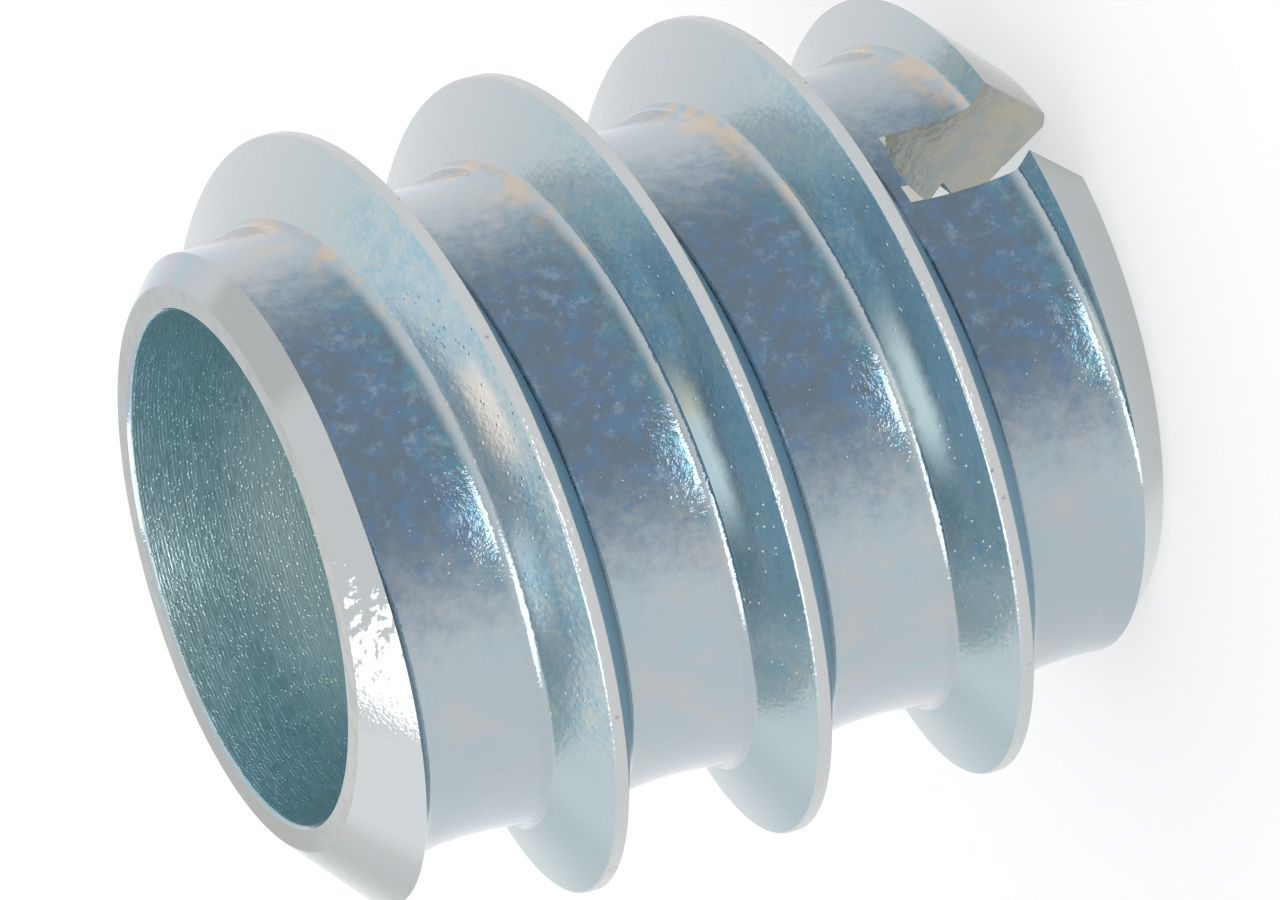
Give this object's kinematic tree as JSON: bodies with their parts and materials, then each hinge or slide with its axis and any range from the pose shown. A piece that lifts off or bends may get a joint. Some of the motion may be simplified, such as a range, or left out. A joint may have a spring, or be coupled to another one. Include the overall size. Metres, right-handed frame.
{
  "type": "threaded insert",
  "caption": "Slotted screw-in threaded insert: a steel sleeve with a coarse right-hand outer thread, chamfered ends and a tapped hole.",
  "frame": {"origin": "on the axis, in the plane of the slotted end face that the insert stands on", "axes": "+Z along the axis from the slotted end to the plain end, X along the driver slot, Y across it"},
  "size_m": [0.0184, 0.0184, 0.02],
  "materials": {
    "zinc_steel": "bright zinc plate with a blue passivation, satin to glossy"
  },
  "bodies": {
    "root": {"insert": "zinc_steel"}
  },
  "joints": []
}
